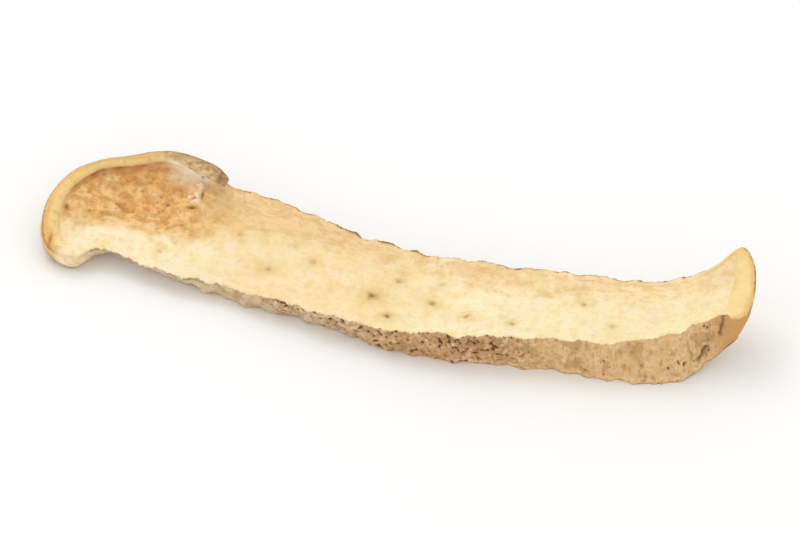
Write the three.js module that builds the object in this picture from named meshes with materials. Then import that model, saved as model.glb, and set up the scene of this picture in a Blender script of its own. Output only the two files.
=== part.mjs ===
// A dried slice of yam root, one solid in millimetres, +Z up, lying on its belly.
// The slice runs along X. Its left end flares into a rounded lobe with a raised skin rim, which ends in a
// curled tongue on the back edge. Its right end bends up to a pointed tip.
// The top edge is a closed curve. Rings of points run from the middle line of the cut face out to that
// edge, over the rim, down the bark wall and in along the underside to a second middle line.

import * as THREE from 'three';

const { Vector3 } = THREE;

// Points of the top edge, counter-clockwise seen from above. Each row holds:
// x, y, z of the edge; how far the foot of the wall is set in; height of the foot;
// height, width and inward lean of the rim that stands on the edge
const FRONT_EDGE = [
  [-29.0, -7.9, 2.2, 1.6, 0.9, 0.10, 1.0, 0.0],
  [-24.0, -9.1, 2.3, 1.9, 0.3, 0.05, 0.8, 0.0],
  [-18.0, -9.4, 2.4, 0.6, 0.0, 0.05, 0.8, 0.0],
  [-12.0, -10.2, 2.6, 0.6, 0.1, 0.05, 0.8, 0.0],
  [-6.0, -11.1, 3.0, 1.0, 0.2, 0.05, 0.8, 0.0],
  [0.0, -11.8, 3.5, 0.4, 0.1, 0.05, 0.8, 0.0],
  [6.0, -11.9, 4.0, 0.3, 0.0, 0.05, 0.8, 0.0],
  [12.0, -11.1, 4.4, 0.2, 0.0, 0.05, 0.8, 0.0],
  [18.0, -10.0, 4.8, -0.1, 0.0, 0.05, 0.8, 0.0],
  [24.0, -9.1, 5.0, -0.6, 0.0, 0.05, 0.8, 0.0],
  [28.5, -8.0, 5.3, -1.4, 0.0, 0.05, 0.9, 0.0],
  [31.6, -6.6, 5.9, -1.3, 0.1, 0.05, 0.9, 0.0],
];
const RIGHT_END = [
  [33.7, -5.2, 6.5, -1.1, 0.8, 0.05, 1.1, 0.0],
  [35.8, -4.5, 6.8, -0.3, 2.3, 0.25, 1.7, 0.0],
  [37.8, -3.7, 7.1, 0.8, 3.5, 0.35, 2.3, 0.0],
  [38.4, -2.0, 7.7, 1.1, 4.6, 0.40, 2.7, 0.0],
  [38.2, 0.0, 8.6, 1.0, 5.9, 0.40, 2.7, 0.0],
  [37.6, 1.7, 9.4, 0.8, 6.9, 0.35, 2.2, 0.0],
  [36.1, 3.2, 9.8, 0.3, 7.6, 0.15, 1.2, 0.0],
  [33.8, 1.9, 8.1, 0.2, 5.6, 0.30, 0.8, 0.0],
];
const BACK_EDGE = [
  [31.0, 1.0, 6.4, 0.3, 3.1, 0.05, 0.8, 0.0],
  [28.0, 0.2, 5.6, 0.3, 1.4, 0.05, 0.8, 0.0],
  [23.5, -0.5, 5.2, 0.2, 0.3, 0.05, 0.8, 0.0],
  [18.0, -0.6, 5.1, 0.1, 0.0, 0.05, 0.8, 0.0],
  [12.0, -1.1, 4.9, 0.1, 0.0, 0.05, 0.8, 0.0],
  [6.0, -1.6, 4.6, 0.1, 0.2, 0.05, 0.8, 0.0],
  [0.0, -1.3, 4.5, 0.2, 0.8, 0.05, 0.8, 0.0],
  [-6.0, -0.2, 4.6, 0.3, 1.5, 0.05, 0.8, 0.0],
  [-12.0, 1.2, 4.9, 0.3, 2.1, 0.05, 0.8, 0.0],
  [-17.6, 1.9, 5.0, 0.2, 2.6, 1.7, 1.5, 0.7],
  [-21.0, 3.1, 6.4, 0.1, 3.4, 1.8, 1.6, 0.8],
  [-25.5, 3.8, 6.6, 0.0, 3.6, 1.3, 1.5, 0.5],
];
const LEFT_END = [
  [-30.0, 2.5, 6.2, 0.0, 3.3, 1.0, 1.4, 0.2],
  [-34.1, 0.5, 5.7, 0.0, 2.6, 0.8, 1.5, 0.1],
  [-36.6, -2.8, 4.9, 0.0, 1.5, 0.7, 1.8, 0.0],
  [-37.1, -6.1, 3.7, 0.1, 0.7, 0.6, 1.9, 0.0],
  [-36.1, -8.7, 2.7, 0.7, 0.2, 0.5, 1.8, 0.0],
  [-34.0, -9.7, 2.1, 0.8, 0.0, 0.4, 1.5, 0.0],
  [-32.6, -9.4, 1.9, 0.5, 0.0, 0.3, 1.3, 0.0],
  [-31.2, -8.2, 2.3, 0.5, 0.9, 0.2, 1.1, 0.0],
];

// How the cut face lies between its edges: x and y on the middle line, height there, slope from front to back
const LIE = [
  [-33.0, -5.0, 3.3, 0.35],
  [-26.0, -2.5, 4.0, 0.33],
  [-18.0, -3.8, 3.9, 0.26],
  [-10.0, -4.8, 3.8, 0.18],
  [-2.0, -6.2, 3.8, 0.11],
  [6.0, -6.7, 4.2, 0.06],
  [14.0, -6.0, 4.7, 0.03],
  [22.0, -5.0, 5.1, 0.03],
  [28.0, -4.0, 5.5, 0.06],
  [33.0, -1.8, 6.9, 0.20],
  [36.5, 0.5, 8.4, 0.30],
];
const LIE_BLEND = 5.0;

// The dish that shrinkage left behind the rim of the lobe, and the spot on the belly that the slice rests on
const HOLLOW = { x: -28.6, y: -1.0, radiusX: 5.0, radiusY: 3.2, depth: 0.9 };
const HOLLOW_BELOW = 0.6;
const HOLLOW_EDGE_POWER = 6;
const FLAT_SPOT = { x: 12.0, y: -6.0, radiusX: 6.0, radiusY: 3.5, depth: 0.8 };

// Thickness: thin at the lobe, thick from the middle on, thinner again in the upturned tip
const THICKNESS = { lobe: 2.0, gain: 2.8, gainFrom: -22, gainTo: 6, loss: 1.5, lossFrom: 30, lossTo: 38 };

// The tongue: where the rim breaks off on the back edge, how far it runs on past that place over a notch in
// the edge, and between which shares of its height it leaves its root behind
const TONGUE = {
  end: -20.2, fade: 0.5, reach: 1.9, root: 4.5, lowRim: 0.3, highRim: 1.0, undercutFrom: 0.0, undercutTo: 0.9,
};
const NOTCH = { x: -18.9, reach: 1.1, depth: 0.5 };

const BARE_RIM = 0.05;
const TORN = { from: 0.05, to: 0.35 };
const CREASE = { depth: 0.3, width: 0.45, lowRim: 0.4, highRim: 0.9 };
const WALL_BULGE = 0.3;

// How late a face leaves its own lie to meet its edge
const EDGE_RISE_POWER = 3;

// Warping of the faces and raggedness of the cut edges: size, turns along u, turns along v, phase
const FACE_WAVES = [
  [0.16, 0.31, 0.22, 0.5],
  [0.10, -0.62, 0.75, 1.9],
  [0.06, 1.1, 0.9, 4.0],
  [0.05, 0.4, -1.9, 2.2],
];
const BASE_WAVES = [
  [0.22, 0.42, 0.35, 2.0],
  [0.14, -0.8, 0.9, 0.3],
  [0.10, 1.3, 0.4, 5.0],
];
const EDGE_WAVES = [
  [0.10, 0.83, 0, 0.6],
  [0.09, 1.61, 0, 2.4],
  [0.07, 2.7, 0, 4.4],
];
const FOOT_WAVE_SHARE = 0.8;
const FOOT_WAVE_SHIFT = 40;

// How finely the solid is divided
const SIDE_STEPS = 5;
const END_STEPS = 4;
const FACE_RINGS = 7;
const LIP_RINGS = 6;
const WALL_RINGS = 4;
const BASE_RINGS = 5;
const FACE_CROWDING = 0.85;

const smooth = (low, high, value) => THREE.MathUtils.smoothstep(value, low, high);
const flatten = (vector) => new Vector3(vector.x, vector.y, 0).normalize();

function waves(table, u, v = 0) {
  let height = 0;
  for (const [size, alongU, alongV, phase] of table) {
    height += size * Math.sin(alongU * u + alongV * v + phase);
  }
  return height;
}

function dent({ x, y, radiusX, radiusY, depth }, atX, atY) {
  return depth * Math.exp(-(((atX - x) / radiusX) ** 2) - ((atY - y) / radiusY) ** 2);
}

// Height of the smooth cut face, blended from the rows of LIE
function lie(x, y) {
  let height = 0;
  let share = 0;
  for (const [middleX, middleY, middleHeight, slope] of LIE) {
    const weight = Math.exp(-(((x - middleX) / LIE_BLEND) ** 2));
    height += weight * (middleHeight + slope * (y - middleY));
    share += weight;
  }
  return height / share;
}

// Height of the underside, before it is pressed flat on the ground
function underside(x, y) {
  const { lobe, gain, gainFrom, gainTo, loss, lossFrom, lossTo } = THICKNESS;
  const thickness = lobe + gain * smooth(gainFrom, gainTo, x) - loss * smooth(lossFrom, lossTo, x);
  const dents = HOLLOW_BELOW * dent(HOLLOW, x, y) + dent(FLAT_SPOT, x, y);
  return lie(x, y) - thickness - dents + waves(BASE_WAVES, x, y);
}

// A row of numbers on the closed centripetal Catmull-Rom curve through the rows
function rowOnCurve(rows, index, share) {
  const count = rows.length;
  const [before, from, to, after] = [-1, 0, 1, 2].map((offset) => rows[(index + offset + count) % count]);
  const gap = (a, b) => Math.sqrt(Math.hypot(b[0] - a[0], b[1] - a[1], b[2] - a[2]));
  const gapBefore = gap(before, from);
  const gapHere = gap(from, to);
  const gapAfter = gap(to, after);
  return from.map((start, k) => {
    const end = to[k];
    const rise = (end - start) / gapHere;
    const riseBefore = (start - before[k]) / gapBefore;
    const riseAfter = (after[k] - end) / gapAfter;
    const leave = gapHere * (riseBefore - (end - before[k]) / (gapBefore + gapHere) + rise);
    const arrive = gapHere * (rise - (after[k] - start) / (gapHere + gapAfter) + riseAfter);
    const cubic = 2 * start - 2 * end + leave + arrive;
    const square = 3 * end - 3 * start - 2 * leave - arrive;
    return ((cubic * share + square) * share + leave) * share + start;
  });
}

// The top edge as samples, with everything that a ring needs to know about its place on the edge
function edgeSamples() {
  const rows = [...FRONT_EDGE, ...RIGHT_END, ...BACK_EDGE, ...LEFT_END];
  const spans = FRONT_EDGE.length - 1;
  const backStart = FRONT_EDGE.length + RIGHT_END.length;
  const samples = [];
  rows.forEach((_, index) => {
    const onSide = index < spans || (index >= backStart && index < backStart + spans);
    const steps = onSide ? SIDE_STEPS : END_STEPS;
    for (let step = 0; step < steps; step += 1) {
      const [x, y, z, inset, footHeight, lipHeight, lipWidth, lean] = rowOnCurve(rows, index, step / steps);
      samples.push({ top: new Vector3(x, y, z), inset, footHeight, lipHeight, lipWidth, lean });
    }
  });

  const sideLength = spans * SIDE_STEPS;
  const backEnd = 2 * sideLength + END_STEPS * (RIGHT_END.length + 1);
  const neighbours = (index) => {
    const count = samples.length;
    return [samples[(index + count - 1) % count].top, samples[(index + 1) % count].top];
  };

  let travelled = 0;
  samples.forEach((sample, index) => {
    const [before, after] = neighbours(index);
    sample.tangent = flatten(new Vector3().subVectors(after, before));
    sample.outward = new Vector3(sample.tangent.y, -sample.tangent.x, 0);
    sample.travelled = travelled;
    travelled += sample.top.distanceTo(after);
    const rearLeft = sample.top.y > 0 && sample.top.x < 0;
    const { end, fade, root, lowRim, highRim } = TONGUE;
    const kept = rearLeft ? 1 - smooth(end - fade, end, sample.top.x) : 1;
    sample.lipHeight = BARE_RIM + (sample.lipHeight - BARE_RIM) * kept;
    const tongueGrowth = smooth(end - root, end - fade, sample.top.x);
    sample.tongue = rearLeft ? tongueGrowth * smooth(lowRim, highRim, sample.lipHeight) : 0;
    sample.torn = 1 - smooth(TORN.from, TORN.to, sample.lipHeight);
  });

  for (const sample of samples) {
    const rearLeft = sample.top.y > 0 && sample.top.x < 0;
    const notch = rearLeft ? NOTCH.depth * Math.exp(-(((sample.top.x - NOTCH.x) / NOTCH.reach) ** 2)) : 0;
    const wave = waves(EDGE_WAVES, sample.travelled) * sample.torn;
    sample.top.addScaledVector(sample.outward, wave - notch);
  }

  samples.forEach((sample, index) => {
    const [before, after] = neighbours(index);
    const footWave = FOOT_WAVE_SHARE * waves(EDGE_WAVES, sample.travelled + FOOT_WAVE_SHIFT) * sample.torn;
    sample.foot = sample.top.clone().addScaledVector(sample.outward, footWave - sample.inset);
    sample.foot.z = sample.footHeight;
    sample.along = new Vector3().subVectors(after, before);
    if (index <= sideLength) sample.spine = index;
    else if (index < backEnd - sideLength) sample.spine = sideLength;
    else sample.spine = Math.max(0, backEnd - index);
  });

  // The middle line runs halfway between the front samples and their mates at the back
  const front = samples.slice(0, sideLength + 1);
  const middle = front.map(({ top }, index) => {
    const mate = samples[backEnd - index].top;
    return new Vector3().lerpVectors(top, mate, 0.5);
  });
  for (const sample of samples) {
    sample.middle = middle[sample.spine];
    sample.reach = sample.top.distanceTo(sample.middle);
    sample.inward = new Vector3().subVectors(sample.middle, sample.top).normalize();
    sample.up = new Vector3().crossVectors(sample.along, sample.inward).normalize();
  }
  return { samples, middle };
}

// A point of the cut face: share runs from 0 on the middle line to 1 at the foot of the rim
function facePoint(sample, share) {
  const { top, inward, reach, lipWidth, lipHeight } = sample;
  const inset = reach + (lipWidth - reach) * share;
  const rimFoot = top.clone().addScaledVector(inward, lipWidth);
  const point = top.clone().addScaledVector(inward, inset);
  const creaseDepth = CREASE.depth * smooth(CREASE.lowRim, CREASE.highRim, lipHeight);
  const crease = creaseDepth * Math.exp(-(((inset - lipWidth) / CREASE.width) ** 2));
  const rise = (rimFoot.z - lie(rimFoot.x, rimFoot.y)) * share ** EDGE_RISE_POWER;
  const dish = dent(HOLLOW, point.x, point.y) * (1 - share ** HOLLOW_EDGE_POWER);
  return point.setZ(lie(point.x, point.y) + rise + waves(FACE_WAVES, point.x, point.y) - dish - crease);
}

// A point of the rim: angle runs from PI at its inner foot over the crest to 0 at the outer edge
function lipPoint(sample, angle) {
  const { top, inward, up, tangent, lipHeight, lipWidth, lean, tongue } = sample;
  const height = lipHeight * Math.sin(angle);
  const inset = (lipWidth / 2) * (1 - Math.cos(angle)) + lean * height * Math.sin(angle);
  const point = top.clone().addScaledVector(inward, inset).addScaledVector(up, height);
  const runOn = TONGUE.reach * tongue * smooth(TONGUE.undercutFrom, TONGUE.undercutTo, Math.sin(angle));
  point.addScaledVector(tangent, -runOn);
  point.z += waves(FACE_WAVES, point.x, point.y);
  return point;
}

// A point of the bark wall: share runs from 0 at the top edge to 1 at the foot
function wallPoint(sample, share) {
  const { top, foot, outward } = sample;
  const point = new Vector3().lerpVectors(top, foot, share);
  point.addScaledVector(outward, WALL_BULGE * Math.sin(Math.PI * share));
  point.z = Math.max(0, point.z + waves(FACE_WAVES, top.x, top.y) * (1 - share));
  return point;
}

// A point of the underside: share runs from 1 at the foot of the wall to 0 on the middle line
function basePoint(sample, share) {
  const { foot, middle } = sample;
  const point = new Vector3().lerpVectors(middle, foot, share);
  const rise = (foot.z - underside(foot.x, foot.y)) * share ** EDGE_RISE_POWER;
  return point.setZ(Math.max(0, underside(point.x, point.y) + rise));
}

function sliceGeometry() {
  const { samples, middle } = edgeSamples();
  const rings = [];
  for (let ring = 1; ring <= FACE_RINGS; ring += 1) {
    const share = (ring / (FACE_RINGS + 1)) ** FACE_CROWDING;
    rings.push(samples.map((sample) => facePoint(sample, share)));
  }
  for (let ring = 0; ring <= LIP_RINGS; ring += 1) {
    rings.push(samples.map((sample) => lipPoint(sample, Math.PI * (1 - ring / LIP_RINGS))));
  }
  for (let ring = 1; ring <= WALL_RINGS; ring += 1) {
    rings.push(samples.map((sample) => wallPoint(sample, ring / WALL_RINGS)));
  }
  for (let ring = 1; ring <= BASE_RINGS; ring += 1) {
    rings.push(samples.map((sample) => basePoint(sample, 1 - ring / (BASE_RINGS + 1))));
  }
  const faceSpine = middle.map(({ x, y }) =>
    new Vector3(x, y, lie(x, y) + waves(FACE_WAVES, x, y) - dent(HOLLOW, x, y)));
  const baseSpine = middle.map(({ x, y }) => new Vector3(x, y, Math.max(0, underside(x, y))));

  const points = [...faceSpine, ...rings.flat(), ...baseSpine];
  const around = samples.length;
  const firstRing = faceSpine.length;
  const lastRing = firstRing + (rings.length - 1) * around;
  const baseStart = lastRing + around;
  const triangles = [];
  samples.forEach((sample, i) => {
    const j = (i + 1) % around;
    const here = sample.spine;
    const next = samples[j].spine;
    triangles.push(firstRing + i, firstRing + j, here);
    triangles.push(lastRing + i, baseStart + here, lastRing + j);
    if (here !== next) {
      triangles.push(firstRing + j, next, here);
      triangles.push(lastRing + j, baseStart + here, baseStart + next);
    }
    for (let ring = firstRing; ring < lastRing; ring += around) {
      const outer = ring + around;
      triangles.push(ring + i, outer + i, outer + j);
      triangles.push(ring + i, outer + j, ring + j);
    }
  });

  const geometry = new THREE.BufferGeometry();
  const coordinates = points.flatMap((point) => point.toArray());
  geometry.setAttribute('position', new THREE.Float32BufferAttribute(coordinates, 3));
  geometry.setIndex(triangles);
  geometry.computeBoundingBox();
  const centre = geometry.boundingBox.getCenter(new Vector3());
  geometry.translate(-centre.x, -centre.y, -geometry.boundingBox.min.z);
  geometry.computeVertexNormals();
  return geometry;
}

const driedFlesh = new THREE.MeshStandardMaterial({ color: 0xf0dcab, roughness: 0.85, metalness: 0 });

const slice = new THREE.Mesh(sliceGeometry(), driedFlesh);
slice.name = 'yam_slice';

const yam = new THREE.Group();
yam.name = 'dried_yam_slice';
yam.add(slice);

export default yam;
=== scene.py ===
import math
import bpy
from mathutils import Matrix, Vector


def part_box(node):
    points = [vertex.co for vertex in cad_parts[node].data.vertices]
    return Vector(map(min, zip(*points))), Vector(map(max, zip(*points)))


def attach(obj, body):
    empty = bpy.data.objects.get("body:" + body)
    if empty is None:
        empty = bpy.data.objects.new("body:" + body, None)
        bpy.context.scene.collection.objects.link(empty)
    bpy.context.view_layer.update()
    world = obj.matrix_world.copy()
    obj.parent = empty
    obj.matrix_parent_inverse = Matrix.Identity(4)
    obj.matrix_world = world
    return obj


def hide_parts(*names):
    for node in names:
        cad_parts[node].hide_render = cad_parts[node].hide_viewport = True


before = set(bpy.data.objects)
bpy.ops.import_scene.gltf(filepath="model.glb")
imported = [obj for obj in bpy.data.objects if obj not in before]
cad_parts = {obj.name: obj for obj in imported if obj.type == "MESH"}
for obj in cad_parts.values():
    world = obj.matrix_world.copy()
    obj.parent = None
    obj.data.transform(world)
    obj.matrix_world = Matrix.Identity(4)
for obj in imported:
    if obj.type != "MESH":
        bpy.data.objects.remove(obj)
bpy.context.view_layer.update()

from types import SimpleNamespace

import bpy
import numpy as np
from mathutils import Vector, noise

# A dried slice of yam root, in millimetres until its mesh is made

MM = 0.001
BODY = "root"
NODE = "yam_slice"

# Camera: it looks down at the slice from the front and a little from its right, as the photograph does
CAMERA_AZIMUTH = 15.0
CAMERA_ELEVATION = 48.0
CAMERA_LENS = 500.0
CAMERA_SENSOR = 36.0
VIEW_WIDTH = 83.8
VIEW_TARGET = (-0.5, 4.1, 0.0)

# Points of the top edge, counter-clockwise seen from above. Each row holds:
# x, y, z of the edge; how far the foot of the wall is set in; height of the foot;
# height, width and inward lean of the rim that stands on the edge
FRONT_EDGE = [
    (-29.0, -7.9, 2.2, 1.6, 0.9, 0.10, 1.0, 0.0),
    (-24.0, -9.1, 2.3, 1.9, 0.3, 0.05, 0.8, 0.0),
    (-18.0, -9.4, 2.4, 0.6, 0.0, 0.05, 0.8, 0.0),
    (-12.0, -10.2, 2.6, 0.6, 0.1, 0.05, 0.8, 0.0),
    (-6.0, -11.1, 3.0, 1.0, 0.2, 0.05, 0.8, 0.0),
    (0.0, -11.8, 3.5, 0.4, 0.1, 0.05, 0.8, 0.0),
    (6.0, -11.9, 4.0, 0.3, 0.0, 0.05, 0.8, 0.0),
    (12.0, -11.1, 4.4, 0.2, 0.0, 0.05, 0.8, 0.0),
    (18.0, -10.0, 4.8, -0.1, 0.0, 0.05, 0.8, 0.0),
    (24.0, -9.1, 5.0, -0.6, 0.0, 0.05, 0.8, 0.0),
    (28.5, -8.0, 5.3, -1.4, 0.0, 0.05, 0.9, 0.0),
    (31.6, -6.6, 5.9, -1.3, 0.1, 0.05, 0.9, 0.0),
]
RIGHT_END = [
    (33.7, -5.2, 6.5, -1.1, 0.8, 0.05, 1.1, 0.0),
    (35.8, -4.5, 6.8, -0.3, 2.3, 0.25, 1.7, 0.0),
    (37.8, -3.7, 7.1, 0.8, 3.5, 0.35, 2.3, 0.0),
    (38.4, -2.0, 7.7, 1.1, 4.6, 0.40, 2.7, 0.0),
    (38.2, 0.0, 8.6, 1.0, 5.9, 0.40, 2.7, 0.0),
    (37.6, 1.7, 9.4, 0.8, 6.9, 0.35, 2.2, 0.0),
    (36.1, 3.2, 9.8, 0.3, 7.6, 0.15, 1.2, 0.0),
    (33.8, 1.9, 8.1, 0.2, 5.6, 0.30, 0.8, 0.0),
]
BACK_EDGE = [
    (31.0, 1.0, 6.4, 0.3, 3.1, 0.05, 0.8, 0.0),
    (28.0, 0.2, 5.6, 0.3, 1.4, 0.05, 0.8, 0.0),
    (23.5, -0.5, 5.2, 0.2, 0.3, 0.05, 0.8, 0.0),
    (18.0, -0.6, 5.1, 0.1, 0.0, 0.05, 0.8, 0.0),
    (12.0, -1.1, 4.9, 0.1, 0.0, 0.05, 0.8, 0.0),
    (6.0, -1.6, 4.6, 0.1, 0.2, 0.05, 0.8, 0.0),
    (0.0, -1.3, 4.5, 0.2, 0.8, 0.05, 0.8, 0.0),
    (-6.0, -0.2, 4.6, 0.3, 1.5, 0.05, 0.8, 0.0),
    (-12.0, 1.2, 4.9, 0.3, 2.1, 0.05, 0.8, 0.0),
    (-17.6, 1.9, 5.0, 0.2, 2.6, 1.7, 1.5, 0.7),
    (-21.0, 3.1, 6.4, 0.1, 3.4, 1.8, 1.6, 0.8),
    (-25.5, 3.8, 6.6, 0.0, 3.6, 1.3, 1.5, 0.5),
]
LEFT_END = [
    (-30.0, 2.5, 6.2, 0.0, 3.3, 1.0, 1.4, 0.2),
    (-34.1, 0.5, 5.7, 0.0, 2.6, 0.8, 1.5, 0.1),
    (-36.6, -2.8, 4.9, 0.0, 1.5, 0.7, 1.8, 0.0),
    (-37.1, -6.1, 3.7, 0.1, 0.7, 0.6, 1.9, 0.0),
    (-36.1, -8.7, 2.7, 0.7, 0.2, 0.5, 1.8, 0.0),
    (-34.0, -9.7, 2.1, 0.8, 0.0, 0.4, 1.5, 0.0),
    (-32.6, -9.4, 1.9, 0.5, 0.0, 0.3, 1.3, 0.0),
    (-31.2, -8.2, 2.3, 0.5, 0.9, 0.2, 1.1, 0.0),
]

# How the cut face lies: x and y on the middle line, height there, slope from front to back
LIE = [
    (-33.0, -5.0, 3.3, 0.35),
    (-26.0, -2.5, 4.0, 0.33),
    (-18.0, -3.8, 3.9, 0.26),
    (-10.0, -4.8, 3.8, 0.18),
    (-2.0, -6.2, 3.8, 0.11),
    (6.0, -6.7, 4.2, 0.06),
    (14.0, -6.0, 4.7, 0.03),
    (22.0, -5.0, 5.1, 0.03),
    (28.0, -4.0, 5.5, 0.06),
    (33.0, -1.8, 6.9, 0.20),
    (36.5, 0.5, 8.4, 0.30),
]
LIE_BLEND = 5.0

# Dents as x, y, radius in x, radius in y, depth: the dish behind the rim, and the spot the belly rests on
HOLLOW = (-28.6, -1.0, 5.0, 3.2, 0.9)
HOLLOW_BELOW = 0.6
HOLLOW_EDGE_POWER = 6
FLAT_SPOT = (12.0, -6.0, 6.0, 3.5, 0.8)

THICKNESS_AT_LOBE = 2.0
THICKNESS_GAIN = 2.8
THICKNESS_GAIN_SPAN = (-22.0, 6.0)
THICKNESS_LOSS = 1.5
THICKNESS_LOSS_SPAN = (30.0, 38.0)

# The tongue: where the rim breaks off on the back edge, how far it runs on past that place over a notch in
# the edge, and between which shares of its height it leaves its root behind
TONGUE_END = -20.2
TONGUE_FADE = 0.5
TONGUE_REACH = 1.9
TONGUE_ROOT = 4.5
TONGUE_RIM = (0.3, 1.0)
TONGUE_UNDERCUT = (0.0, 0.9)
NOTCH = (-18.9, 1.1, 0.5)

BARE_RIM = 0.05
TORN_RIM = (0.05, 0.35)
CREASE_DEPTH = 0.3
CREASE_WIDTH = 0.45
CREASE_RIM = (0.4, 0.9)
WALL_BULGE = 0.3
EDGE_RISE_POWER = 3

# Warping of the faces and waviness of the cut edges: size, turns along u, turns along v, phase
FACE_WAVES = [
    (0.16, 0.31, 0.22, 0.5),
    (0.10, -0.62, 0.75, 1.9),
    (0.06, 1.1, 0.9, 4.0),
    (0.05, 0.4, -1.9, 2.2),
]
BASE_WAVES = [(0.22, 0.42, 0.35, 2.0), (0.14, -0.8, 0.9, 0.3), (0.10, 1.3, 0.4, 5.0)]
EDGE_WAVES = [(0.10, 0.83, 0.0, 0.6), (0.09, 1.61, 0.0, 2.4), (0.07, 2.7, 0.0, 4.4)]
FOOT_WAVE_SHARE = 0.8
FOOT_WAVE_SHIFT = 40.0

# How finely the surface is divided
SIDE_STEPS = 30
END_STEPS = 20
FACE_RINGS = 36
LIP_RINGS = 14
WALL_RINGS = 24
BASE_RINGS = 20
FACE_CROWDING = 0.85

# Where the marks of growth and drying lie on the cut face

# Line between the cream front and the tan back of the face: x, y
TAN_LINE = [(-36.0, -6.0), (-29.3, -4.4), (-24.9, -4.8), (-20.8, -4.4), (-15.5, -3.7), (-10.2, -3.1),
            (-4.6, -3.2), (1.8, -3.8), (10.0, -4.6), (18.3, -4.3), (27.0, -3.6), (37.0, 0.5)]
# Vessel bundles cut across: x, y, radius, darkness
BUNDLES = [
    (-16.3, -3.5, 0.45, 0.35),
    (-12.4, -6.8, 0.50, 0.55),
    (-8.0, -5.0, 0.45, 0.40),
    (-0.8, -7.8, 0.65, 1.00),
    (1.4, -5.5, 0.50, 0.60),
    (5.5, -7.7, 0.50, 0.70),
    (1.3, -10.1, 0.34, 1.00),
    (5.9, -5.3, 0.40, 0.30),
    (9.5, -8.9, 0.38, 0.80),
    (14.3, -8.6, 0.32, 0.75),
    (21.0, -4.4, 0.36, 0.70),
    (24.6, -7.0, 0.45, 0.35),
    (-24.2, -6.7, 0.28, 0.45),
    (-33.7, -6.5, 0.22, 0.45),
]
# Small dark pits in the flesh of the lobe: x, y, radius along x, radius along y, depth
FLESH_PITS = [
    (-22.2, -1.4, 0.46, 0.26, 0.28),
    (-22.2, -0.3, 0.34, 0.12, 0.20),
    (-24.9, -1.2, 0.24, 0.20, 0.15),
    (-35.0, -4.5, 0.20, 0.20, 0.10),
    (-21.4, 0.1, 0.12, 0.36, 0.10),
]
# White flakes beside the tongue: x, y, radius, height
FLAKES = [
    (-21.9, 0.9, 0.44, 0.18),
    (-22.1, 0.1, 0.40, 0.16),
    (-22.8, -0.2, 0.26, 0.12),
    (-21.9, -0.7, 0.36, 0.16),
]
# Painted shade: a dark line standing for the gap under the tongue: x and y at both ends, half width
TONGUE_GAP_SHADE = (-22.1, 2.0, -20.7, 0.5, 0.16)
# Frayed fibres on the back edge: x, half length, height
FIBRES = [(-5.8, 1.1, 0.20), (-4.5, 0.4, 0.16), (-1.0, 0.9, 0.10), (2.3, 0.9, 0.06), (13.0, 0.25, 0.14),
          (25.9, 0.30, 0.14), (28.5, 0.20, 0.10), (30.3, 0.20, 0.10)]
# How far a fibre reaches on both sides of the edge
FIBRE_REACH = 0.22
# Cracks in the front bark at the right: x and z at both ends, half width
BARK_CRACKS = [(35.8, 7.8, 35.7, 5.0, 0.20), (34.4, 3.6, 33.7, 2.0, 0.16)]
# Between which shares of its length a crack comes in at each end
CRACK_ENDS = (-0.15, 0.1)
# Saw arcs: x and y of their centre, how drawn out they are along x, spacing, reach
ARCS = (-13.6, 1.6, 1.8, 0.95, 4.6)
# Dark streak on the rim, and the spot of painted shade, a pale pinkish tint, under the tongue: x, y, radius
# in x, radius in y, strength
RIM_STREAK_SPOT = (-35.6, -8.5, 0.22, 0.55, 1.0)
LILAC_SHADE_SPOT = (-22.6, 2.2, 2.2, 1.1, 1.3)

# How drawn out the bundles and flakes are along x, and the radii of a bundle's pit and of its halo
BUNDLE_STRETCH = 1.35
FLAKE_STRETCH = 1.1
BUNDLE_PIT = 0.55
BUNDLE_HALO = 2.1

# Where each mark of the lobe comes in, as x, y, z or share of the rim's width: from none to full
HOLLOW_X = (-15.0, -24.0)
LEFT_RIM_X = (-24.0, -28.0)
CREASE_SHADE_X = (-25.0, -27.5)
CREASE_SHADE_Y = (-5.5, -0.5)
HOOK_START_X = (-28.0, -24.0)
HOOK_STOP_X = (-14.0, -16.0)
HOOK_Y = (-2.0, -1.0)
TONGUE_TIP_X = (-20.6, -19.4)
TONGUE_GAP_SHADE_SHARE = (0.45, 0.62)
TONGUE_GAP_SHADE_Z = (5.5, 5.9)
PALE_INNER_X = (-20.4, -22.0)
PALE_INNER_SHARE = (0.50, 0.66)
LILAC_SHADE_SHARE = (0.62, 0.80)
PALE_PATCH_START_X = (-26.2, -24.8)
PALE_PATCH_STOP_X = (-20.8, -21.8)
PALE_PATCH_Y = (-1.0, 0.0)
# How far in from the rim's foot the pale patch lies, and how wide it is
PALE_PATCH_BAND = (0.8, 0.5)
# How far the painted shade in the crease reaches on to the face and up the rim
CREASE_SHADE_ON_FACE = 0.22
CREASE_SHADE_ON_RIM = 0.06

# Pitted stretches of the bark: middle x, reach, strength. One more lies in front, before the tip's skin
PITTED_STRETCHES = [(10.5, 6.5, 1.2), (-3.0, 5.0, 0.75), (-9.0, 2.2, 0.8), (1.8, 1.6, 0.5)]
PITTED_BEFORE_TIP = (34.8, 1.3, 0.45)
PITTED_BEHIND = 0.25
PITTED_LEAST = 0.12
PITTED_MOST = 1.2
# Middle x and reach of the stretch with upright grooves
STRIATED_X = (24.0, 6.0)
# Where the tip's skin, frayed bark, the risen bark and the pale foot come in: from none to full
TIP_SKIN_X = (32.6, 34.2)
FRAYED_START_X = (-26.5, -20.5)
FRAYED_STOP_X = (0.0, -20.0)
BARK_RISE_START_X = (34.0, 35.6)
BARK_RISE_STOP_X = (36.7, 36.1)
PALE_FOOT_X = (3.0, 12.0)
PALE_FOOT_HEIGHT = (1.0, 0.6)
# How far the bark reaches in over the edge, just before the right end's skin
BARK_RISE = 1.2

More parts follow.
